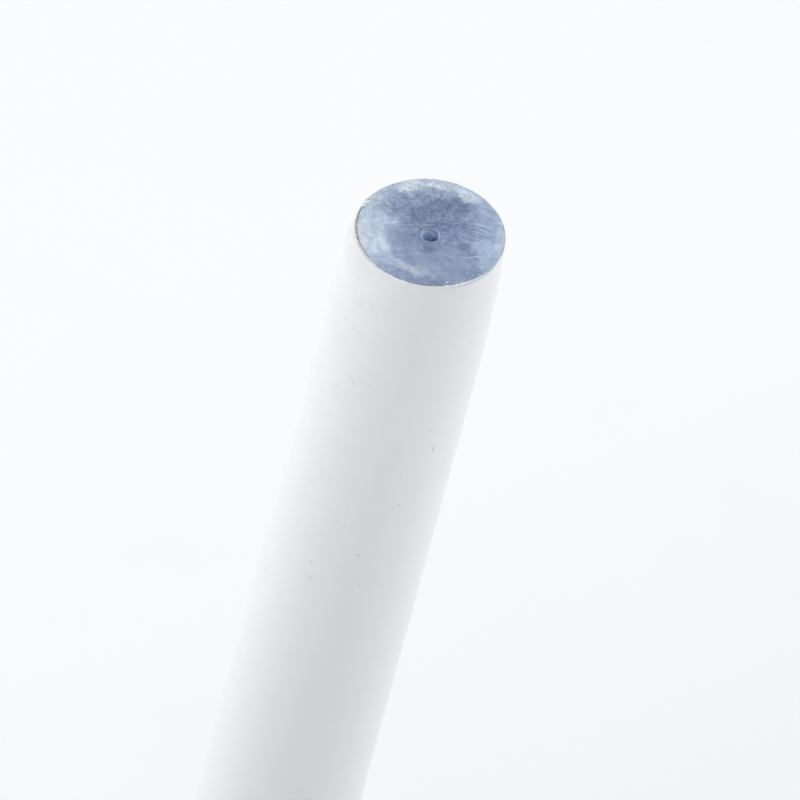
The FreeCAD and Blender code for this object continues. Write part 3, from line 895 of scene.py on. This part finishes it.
def face_colour(shader, face):
    """Colour, roughness and fine relief of the cut end. face is across and up, with the rim at 1."""
    soft = shader.warp(face, 0.30, 0.13, 3)
    ragged = shader.warp(soft, 0.06, 0.09, 4)
    across_up = shader.place(face, size=FLAT)
    distance = shader.length(across_up)
    broken = shader.noise(face, 0.075, 6, 0.78)
    thin = shader.remap(shader.noise(face, 0.045, 5, 0.75), 0.34, 0.54, 0.7, 1.0)

    colour = shader.mix(shader.remap(distance, 0.15, 1.0), cut_end_tint(134, 149, 178), cut_end_tint(160, 176, 202))
    rim = shader.remap(shader.length(shader.place(soft, size=FLAT)), 0.76, 0.95)
    colour = shader.mix(shader.times(rim, 0.7), colour, cut_end_tint(*PALE))
    for tint, strength, breaking, across, up, width, height, turned, edge in SMEARS:
        share = shader.patch(ragged if breaking else soft, across, up, width, height, turned, edge)
        if breaking:
            rough = shader.times(shader.math("SUBTRACT", broken, 0.5), 1.4 * breaking)
            share = shader.times(shader.remap(shader.math("ADD", share, rough), 0.02, 0.98), thin)
        colour = shader.mix(shader.times(share, strength), colour, cut_end_tint(*tint))

    # Worn mottling, strongest in the dark smear: clouds, flecks and rubbing strokes, lighter and darker.
    cloud = shader.noise(ragged, 0.14, 6, 0.75)
    fleck = shader.noise(face, 0.050, 4, 0.7)
    worn = shader.patch(soft, -0.08, 0.46, 0.66, 0.46, soft=0.4)
    rubbed = shader.remap(worn, 0.0, 1.0, 0.22, 0.72)

    def vary(pattern, low, high, share, less, more):
        nonlocal colour
        change = shader.mix(shader.remap(pattern, low, high), less, more)
        colour = shader.mix(share, colour, shader.mix(1.0, colour, change, "MULTIPLY"))

    vary(cloud, 0.36, 0.64, 0.75, (0.80, 0.81, 0.86, 1), (1.20, 1.18, 1.13, 1))
    vary(fleck, 0.32, 0.68, rubbed, (0.74, 0.76, 0.83, 1), (1.26, 1.23, 1.16, 1))
    for turned in (28, -42):
        stroked = shader.place(face, rotation=(0, 0, math.radians(turned)), size=(3.0, 1, 1))
        stroke = shader.noise(stroked, 0.040, 3, 0.6)
        vary(stroke, 0.34, 0.66, rubbed, (0.84, 0.85, 0.89, 1), (1.17, 1.15, 1.11, 1))

    # Lip of the hole: painted shade, a thin dark arc where the next turn begins, on the side away from the
    # light.
    from_hole = shader.length(shader.warp(across_up, 0.2, 0.012))
    gap_shade = shader.times(shader.remap(from_hole, 0.138, 0.146), shader.remap(from_hole, 0.172, 0.158))
    gap_shade = shader.times(gap_shade, shader.patch(across_up, -0.07, 0.12, 0.15, 0.11))
    colour = shader.mix(shader.times(gap_shade, 0.40), colour, cut_end_tint(86, 101, 136))

    # Knife marks: long shallow arcs across the upper middle, bending down on the right.
    knife = shader.length(shader.place(shader.warp(across_up, 0.5, 0.03), (0.15, -1.25, 0)))
    lines = shader.join(shader.times(knife, 30.0), shader.times(shader.split(face)[0], 2.0))
    cuts = shader.noise(lines, 1.0, 3, 0.7)
    light_cut = shader.remap(cuts, 0.51, 0.66)
    dark_cut = shader.remap(cuts, 0.46, 0.36)
    upper = shader.patch(soft, 0.1, 0.2, 0.8, 0.22)
    right = shader.patch(soft, 0.76, 0.24, 0.26, 0.34, turned=20)
    zone = shader.math("MAXIMUM", shader.math("MAXIMUM", shader.times(upper, 0.38), right), 0.12)
    colour = shader.mix(shader.times(light_cut, shader.times(zone, 0.58)), colour, cut_end_tint(202, 215, 231))
    colour = shader.mix(shader.times(dark_cut, shader.times(zone, 0.45)), colour, cut_end_tint(112, 128, 162))

    # One straight scratch on the right, and chalk dust.
    scratch = shader.patch(shader.warp(across_up, 0.1, 0.02), 0.64, -0.335, 0.15, 0.012, 12, 0.8)
    colour = shader.mix(shader.times(scratch, 0.7), colour, cut_end_tint(194, 207, 225))
    dust = shader.remap(shader.noise(face, 0.032, 1, 0.4), 0.74, 0.80)
    colour = shader.mix(shader.times(dust, 0.4), colour, cut_end_tint(206, 216, 229))

    turns = shader.noise(shader.join(distance), 0.021, 1, 0.5)
    relief = shader.math("ADD", shader.times(cuts, 0.5), shader.times(turns, 0.25))
    relief = shader.math("ADD", relief, shader.times(fleck, 0.3))
    shine = shader.remap(cloud, 0.25, 0.75, 0.36, 0.56)
    return colour, shine, relief


def make_starter_paper():
    """The hard first turns: the inside of the hole is painted far paler than the paper, a painted light, and
    the worn lip has a thin, broken, paler ring, a painted highlight strongest on one side.
    """
    shader = Shader("starter_turns")
    place = shader.object_place
    from_axis = shader.length(shader.place(shader.warp(place, 0.4 * MM, 0.03 * MM), size=FLAT))
    speckle = shader.noise(place, 0.12 * MM, 3, 0.6)
    # Painted light: the inside of the hole is painted far paler than the blue paper, so that it reads as lit.
    painted_lit_inside = shader.mix(speckle, paint(180, 204, 238), paint(212, 228, 248))
    around = shader.mix(shader.remap(speckle, 0.35, 0.65), cut_end_tint(116, 131, 162), cut_end_tint(138, 153, 183))
    # Painted highlight: a thin, broken, paler ring on the worn lip, strongest on one side.
    ring = shader.times(shader.remap(from_axis, HOLE_RADIUS + 0.05 * MM, HOLE_RADIUS + 0.07 * MM),
                        shader.remap(from_axis, HOLE_RADIUS + 0.17 * MM, HOLE_RADIUS + 0.13 * MM))
    highlight_side = shader.patch(place, 0.45 * MM, -0.25 * MM, 0.5 * MM, 0.6 * MM, 0, 0.6)
    ring = shader.times(ring, shader.remap(highlight_side, 0.0, 1.0, 0.45, 0.95))
    ring = shader.times(ring, shader.remap(speckle, 0.36, 0.56, 0.4, 1.0))
    lip = shader.mix(ring, around, cut_end_tint(184, 198, 218))
    outside = shader.remap(from_axis, HOLE_RADIUS + 0.02 * MM, HOLE_RADIUS + 0.06 * MM)
    colour = shader.mix(outside, painted_lit_inside, lip)
    return shader.finish(colour, 0.6, shader.bump(speckle, 0.015 * MM), specular=0.4)


def make_paste():
    """Dried brown paste, darker where it is thick."""
    shader = Shader("dried_paste")
    blotch = shader.noise(shader.object_place, 0.35 * MM, 4, 0.6)
    colour = shader.mix(shader.remap(blotch, 0.35, 0.60), paint(168, 150, 135), paint(212, 203, 194))
    return shader.finish(colour, 0.6, shader.bump(blotch, 0.02 * MM))


def make_speck_material():
    shader = Shader("dark_specks")
    blotch = shader.noise(shader.object_place, 0.5 * MM, 2)
    colour = shader.mix(shader.remap(blotch, 0.35, 0.65), paint(194, 196, 200), paint(222, 224, 227))
    return shader.finish(colour, 0.8, shader.bump(blotch, 0.01 * MM))


def make_fibre_material(name, low, high):
    shader = Shader(name)
    blotch = shader.noise(shader.object_place, 0.6 * MM, 2)
    return shader.finish(shader.mix(blotch, low, high), 0.8, shader.bump(blotch, 0.005 * MM))


# ---- Stage, light and camera ----


def make_floor():
    """A plain pale tabletop under the tip, wide enough for any view, faintly cloudy. It glows a little, and
    is painted darker towards one side, a painted light falloff.
    """
    reach = 12.0
    mesh = bpy.data.meshes.new("floor")
    corners = [(x * reach, y * reach, TIP_Z) for x, y in ((-1, -1), (1, -1), (1, 1), (-1, 1))]
    mesh.from_pydata(corners, [], [(0, 1, 2, 3)])
    floor = bpy.data.objects.new("floor", mesh)
    bpy.context.scene.collection.objects.link(floor)
    shader = Shader("pale_tabletop")
    cloudy = shader.noise(shader.object_place, 9 * MM, 4, 0.55)
    tint = shader.mix(shader.remap(cloudy, 0.30, 0.5), (0.877, 0.867, 0.866, 1), (0.890, 0.879, 0.879, 1))
    # Painted shade: the tabletop darker towards one side, for light falling off.
    falloff = shader.place(shader.object_place, (0, 130 * MM, 0), (0, 0, math.radians(133.7)))
    falloff = shader.remap(shader.split(falloff)[0], -58 * MM, 18 * MM)
    tint = shader.mix(falloff, (0.819, 0.813, 0.812, 1), tint)
    shader.link(tint, shader.surface.inputs["Emission Color"])
    shader.surface.inputs["Emission Strength"].default_value = 0.17
    mesh.materials.append(shader.finish(tint, 0.9, shader.bump(cloudy, 0.01 * MM), specular=0.0))


def make_surroundings():
    """Soft light from all round: brightest at both sides and behind, dimmer from the front."""
    world = bpy.data.worlds.new("soft_studio")
    bpy.context.scene.world = world
    world.use_nodes = True
    sky = Nodes(world.node_tree)
    sideways, away, _ = sky.split(sky.add("TexCoord").outputs["Generated"])
    beyond = sky.math("MAXIMUM", away, 0.0)
    both_sides = sky.times(sideways, sideways)
    patterns = ((both_sides, SKY_SIDES), (sideways, SKY_RIGHT), (away, SKY_BEHIND),
                (sky.times(sideways, away), SKY_TWIST), (sky.times(beyond, beyond), SKY_BACKDROP))
    level = SKY_EVEN
    for pattern, weight in patterns:
        level = sky.math("ADD", level, sky.times(pattern, weight))
    background = sky.tree.nodes["Background"]
    sky.link(sky.mix(both_sides, SKY_COOL, SKY_NEUTRAL), background.inputs["Color"])
    sky.link(sky.math("MAXIMUM", level, SKY_LEAST), background.inputs["Strength"])

    # What the camera itself sees beyond the floor is plain white.
    seen = sky.add("Background")
    seen.inputs["Color"].default_value = SKY_SEEN
    choose = sky.add("MixShader")
    shares = (sky.add("LightPath").outputs["Is Camera Ray"], background.outputs[0], seen.outputs[0])
    for share, socket in zip(shares, choose.inputs):
        sky.link(share, socket)
    sky.link(choose.outputs[0], sky.tree.nodes["World Output"].inputs["Surface"])


SKY_EVEN = 0.958
SKY_SIDES = 0.755
SKY_RIGHT = -0.10
SKY_BEHIND = 0.847
SKY_BACKDROP = -1.57                    # dims what is straight behind
SKY_TWIST = 0.635                       # brighter behind on the right and in front on the left
SKY_LEAST = 0.03
SKY_COOL = (0.93, 0.97, 1.0, 1.0)
SKY_NEUTRAL = (1.0, 1.0, 1.0, 1.0)
SKY_SEEN = (0.955, 0.962, 0.975, 1.0)

CAMERA_ELEVATION = math.radians(45.9)
CAMERA_ROLL = math.radians(15.15)       # the stump leans to the right by this much
LENS = 1500.0                           # millimetres, on a 36 mm sensor: almost no perspective
SENSOR = 36.0
VIEW_WIDTH = 50.4 * MM                  # what the frame takes in at the cut end
AIM_LEFT = 1.953 * MM                   # the camera aims this far left of the middle of the cut end
AIM_BELOW = 10.584 * MM                 # and this far below it, as the frame stands


def make_camera():
    camera = bpy.data.objects.new("camera", bpy.data.cameras.new("camera"))
    bpy.context.scene.collection.objects.link(camera)
    back = Vector((0, -math.cos(CAMERA_ELEVATION), math.sin(CAMERA_ELEVATION)))
    facing = back.to_track_quat("Z", "Y").to_matrix()
    turned = facing @ Matrix.Rotation(CAMERA_ROLL, 3, "Z")
    right, up = turned.col[0], turned.col[1]
    aim = END_CENTRE - right * AIM_LEFT - up * AIM_BELOW
    distance = LENS * VIEW_WIDTH / SENSOR
    camera.matrix_world = Matrix.Translation(aim + back * distance) @ turned.to_4x4()
    camera.data.lens = LENS
    camera.data.sensor_width = SENSOR
    camera.data.clip_start = 0.1
    camera.data.clip_end = 20.0
    bpy.context.scene.camera = camera


# ---- Put it together ----

core_paper = make_core_paper()
paste = make_paste()
make_roll(core_paper)
make_starter(make_starter_paper())
make_wrapper(make_white_paper())
make_wrapper_paste(paste)
make_lap_paste(paste)
make_tail_paste(paste)
make_barrel_specks(make_speck_material())
make_point_fuzz(make_fibre_material("grey_fibres", paint(150, 162, 184), paint(206, 213, 224)))
make_rim_fray(make_fibre_material("white_fibres", paint(226, 230, 236), paint(250, 250, 250)))
make_floor()
make_surroundings()
make_camera()
bpy.context.scene.view_settings.view_transform = "Standard"
